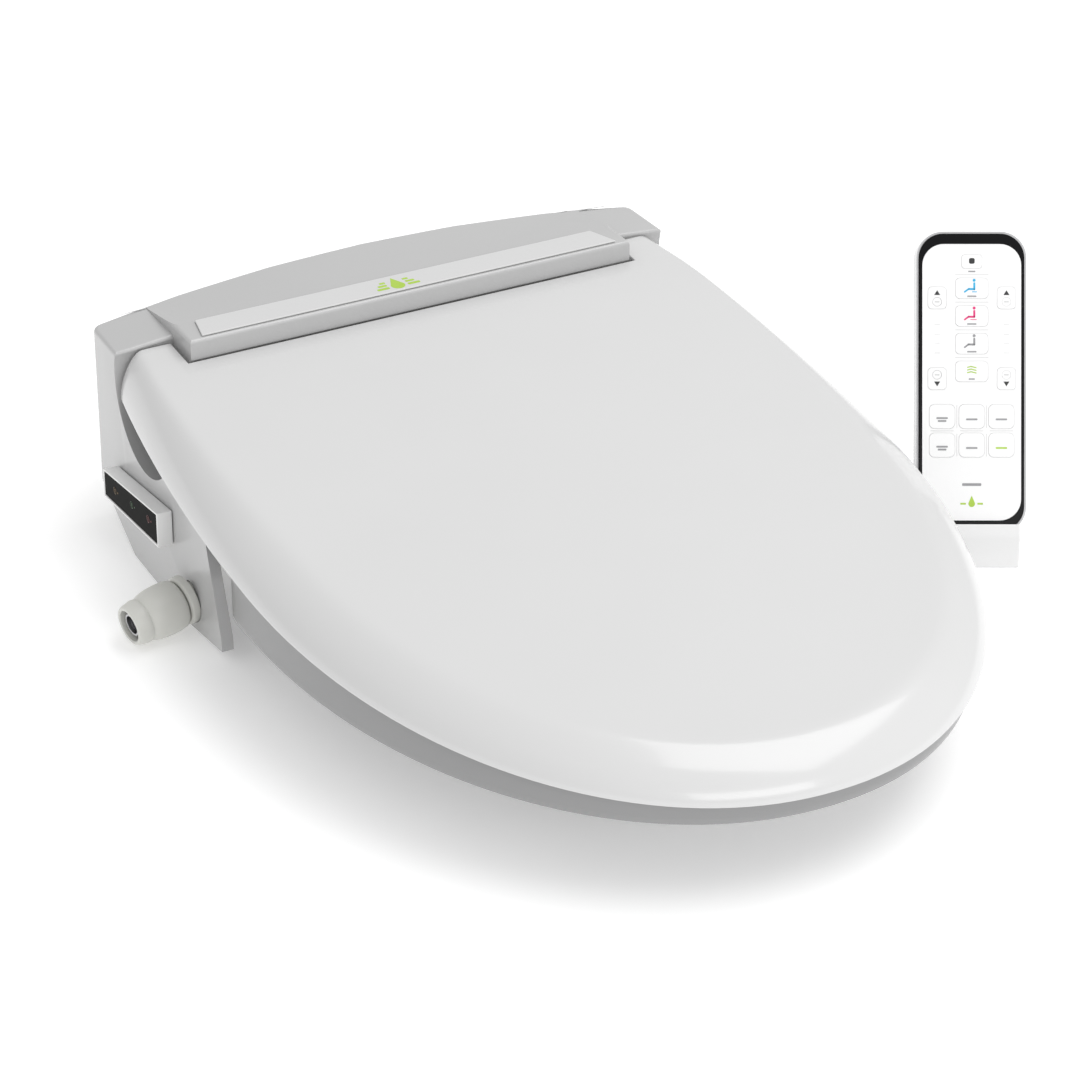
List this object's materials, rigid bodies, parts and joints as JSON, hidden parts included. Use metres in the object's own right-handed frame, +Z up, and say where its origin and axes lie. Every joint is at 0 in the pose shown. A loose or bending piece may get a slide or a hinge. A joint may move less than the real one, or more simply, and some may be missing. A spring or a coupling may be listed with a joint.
{
  "type": "electric bidet seat",
  "caption": "Electric bidet seat with raised rear housing, hinged lid and heated seat, side display, wash nozzle, dryer and a remote control in its holder.",
  "frame": {"origin": "on the deck of the toilet bowl, midway between the two seat bolts", "axes": "+Z up, -Y towards the front tip of the lid, -X to the side with the display and the water inlet"},
  "size_m": [0.5309, 0.548, 0.1664],
  "materials": {
    "gloss_white": "glossy moulded plastic",
    "lid_white": "glossy moulded plastic, a little whiter than the housing",
    "seat_white": "satin moulded plastic",
    "holder_white": "satin moulded plastic",
    "case_silver": "silver-grey satin plastic",
    "trim_white": "bright satin plastic",
    "inner_white": "matt moulded plastic",
    "soft_grey": "soft rubber",
    "fitting_white": "slightly translucent moulded plastic",
    "black_gloss": "gloss black",
    "dark_plastic": "dark matt plastic",
    "face_white": "satin white",
    "key_white": "satin white key",
    "circuit_green": "circuit board",
    "heater_film": "heater film",
    "steel": "brushed steel"
  },
  "bodies": {
    "root": {"upper_cover": "gloss_white", "nose_trim": "trim_white", "base_plate": "inner_white", "mounting_bracket": "inner_white", "cord_gland": "soft_grey", "display_bezel": "trim_white", "display_window": "black_gloss", "display_board": "circuit_green", "inlet_elbow": "fitting_white", "inlet_strainer": "steel", "heater_tank": "inner_white", "tank_lid": "inner_white", "heating_element": "steel", "inlet_valve": "inner_white", "main_board": "circuit_green", "dryer_duct": "inner_white", "dryer_motor": "steel", "nozzle_guide": "inner_white", "nozzle_motor": "steel", "damper_left": "dark_plastic", "damper_right": "dark_plastic", "remote_holder": "holder_white"},
    "seat": {"seat_top": "seat_white", "seat_bottom": "seat_white", "seat_heater": "heater_film", "seat_bumper_1": "soft_grey", "seat_bumper_2": "soft_grey", "seat_bumper_3": "soft_grey", "seat_bumper_4": "soft_grey"},
    "lid": {"lid_shell": "lid_white", "lid_bumper_left": "soft_grey", "lid_bumper_right": "soft_grey"},
    "nozzle": {"nozzle_tip": "trim_white", "nozzle_tube": "steel"},
    "pinion": {"nozzle_pinion": "inner_white"},
    "fan": {"dryer_fan": "dark_plastic"},
    "flap": {"dryer_flap": "gloss_white"},
    "hose_nut": {"inlet_nut": "fitting_white"},
    "remote": {"remote_back": "case_silver", "remote_bezel": "black_gloss", "remote_face": "face_white", "remote_board": "circuit_green", "battery_left": "steel", "battery_right": "steel"},
    "battery_door": {"battery_door": "case_silver"},
    "key_stop": {"key_stop": "key_white"},
    "key_wash": {"key_wash": "key_white"},
    "key_bidet": {"key_bidet": "key_white"},
    "key_jet": {"key_jet": "key_white"},
    "key_dry": {"key_dry": "key_white"},
    "key_left_up": {"key_left_up": "key_white"},
    "key_left_down": {"key_left_down": "key_white"},
    "key_right_up": {"key_right_up": "key_white"},
    "key_right_down": {"key_right_down": "key_white"},
    "key_grid_1": {"key_grid_1": "key_white"},
    "key_grid_2": {"key_grid_2": "key_white"},
    "key_grid_3": {"key_grid_3": "key_white"},
    "key_grid_4": {"key_grid_4": "key_white"},
    "key_grid_5": {"key_grid_5": "key_white"},
    "key_grid_6": {"key_grid_6": "key_white"}
  },
  "joints": [
    {"name": "seat_hinge", "type": "hinge", "parent": "root", "child": "seat", "pos_m": [0, -0.028, 0.082], "axis": [-1, 0, 0], "range_deg": [0, 95]},
    {"name": "lid_hinge", "type": "hinge", "parent": "seat", "child": "lid", "pos_m": [0, -0.028, 0.082], "axis": [1, 0, 0], "range_deg": [-100, 0]},
    {"name": "nozzle_slide", "type": "slide", "parent": "root", "child": "nozzle", "axis": [0, -0.866, -0.5], "range_m": [0, 0.06]},
    {"name": "pinion_turn", "type": "hinge", "parent": "root", "child": "pinion", "pos_m": [0, -0.03357, 0.04127], "axis": [1, 0, 0], "range_deg": [-580, 0]},
    {"name": "fan_spin", "type": "hinge", "parent": "root", "child": "fan", "pos_m": [0.092, 0.012, 0.025], "axis": [0, 0, 1], "continuous": true},
    {"name": "flap_hinge", "type": "hinge", "parent": "root", "child": "flap", "pos_m": [0.07, -0.0612, 0.0185], "axis": [-1, 0, 0], "range_deg": [0, 80]},
    {"name": "hose_nut_turn", "type": "hinge", "parent": "root", "child": "hose_nut", "pos_m": [-0.179, -0.092, -0.006], "axis": [-0.9809, -0.1471, -0.1275], "continuous": true},
    {"name": "remote_lift", "type": "slide", "parent": "root", "child": "remote", "axis": [0.2298, 0.4321, 0.8721], "range_m": [0, 0.12]},
    {"name": "battery_door_slide", "type": "slide", "parent": "remote", "child": "battery_door", "axis": [0.2298, 0.4321, 0.8721], "range_m": [0, 0.02]},
    {"name": "key_stop_press", "type": "slide", "parent": "remote", "child": "key_stop", "axis": [0.4094, 0.77, -0.4894], "range_m": [0, 0.0008], "stiffness_N_per_m": 250},
    {"name": "key_wash_press", "type": "slide", "parent": "remote", "child": "key_wash", "axis": [0.4094, 0.77, -0.4894], "range_m": [0, 0.0008], "stiffness_N_per_m": 250},
    {"name": "key_bidet_press", "type": "slide", "parent": "remote", "child": "key_bidet", "axis": [0.4094, 0.77, -0.4894], "range_m": [0, 0.0008], "stiffness_N_per_m": 250},
    {"name": "key_jet_press", "type": "slide", "parent": "remote", "child": "key_jet", "axis": [0.4094, 0.77, -0.4894], "range_m": [0, 0.0008], "stiffness_N_per_m": 250},
    {"name": "key_dry_press", "type": "slide", "parent": "remote", "child": "key_dry", "axis": [0.4094, 0.77, -0.4894], "range_m": [0, 0.0008], "stiffness_N_per_m": 250},
    {"name": "key_left_up_press", "type": "slide", "parent": "remote", "child": "key_left_up", "axis": [0.4094, 0.77, -0.4894], "range_m": [0, 0.0008], "stiffness_N_per_m": 250},
    {"name": "key_left_down_press", "type": "slide", "parent": "remote", "child": "key_left_down", "axis": [0.4094, 0.77, -0.4894], "range_m": [0, 0.0008], "stiffness_N_per_m": 250},
    {"name": "key_right_up_press", "type": "slide", "parent": "remote", "child": "key_right_up", "axis": [0.4094, 0.77, -0.4894], "range_m": [0, 0.0008], "stiffness_N_per_m": 250},
    {"name": "key_right_down_press", "type": "slide", "parent": "remote", "child": "key_right_down", "axis": [0.4094, 0.77, -0.4894], "range_m": [0, 0.0008], "stiffness_N_per_m": 250},
    {"name": "key_grid_1_press", "type": "slide", "parent": "remote", "child": "key_grid_1", "axis": [0.4094, 0.77, -0.4894], "range_m": [0, 0.0008], "stiffness_N_per_m": 250},
    {"name": "key_grid_2_press", "type": "slide", "parent": "remote", "child": "key_grid_2", "axis": [0.4094, 0.77, -0.4894], "range_m": [0, 0.0008], "stiffness_N_per_m": 250},
    {"name": "key_grid_3_press", "type": "slide", "parent": "remote", "child": "key_grid_3", "axis": [0.4094, 0.77, -0.4894], "range_m": [0, 0.0008], "stiffness_N_per_m": 250},
    {"name": "key_grid_4_press", "type": "slide", "parent": "remote", "child": "key_grid_4", "axis": [0.4094, 0.77, -0.4894], "range_m": [0, 0.0008], "stiffness_N_per_m": 250},
    {"name": "key_grid_5_press", "type": "slide", "parent": "remote", "child": "key_grid_5", "axis": [0.4094, 0.77, -0.4894], "range_m": [0, 0.0008], "stiffness_N_per_m": 250},
    {"name": "key_grid_6_press", "type": "slide", "parent": "remote", "child": "key_grid_6", "axis": [0.4094, 0.77, -0.4894], "range_m": [0, 0.0008], "stiffness_N_per_m": 250}
  ],
  "couplings": [
    {"joint": "pinion_turn", "follows": "nozzle_slide", "rad_per_m": -166.67}
  ]
}
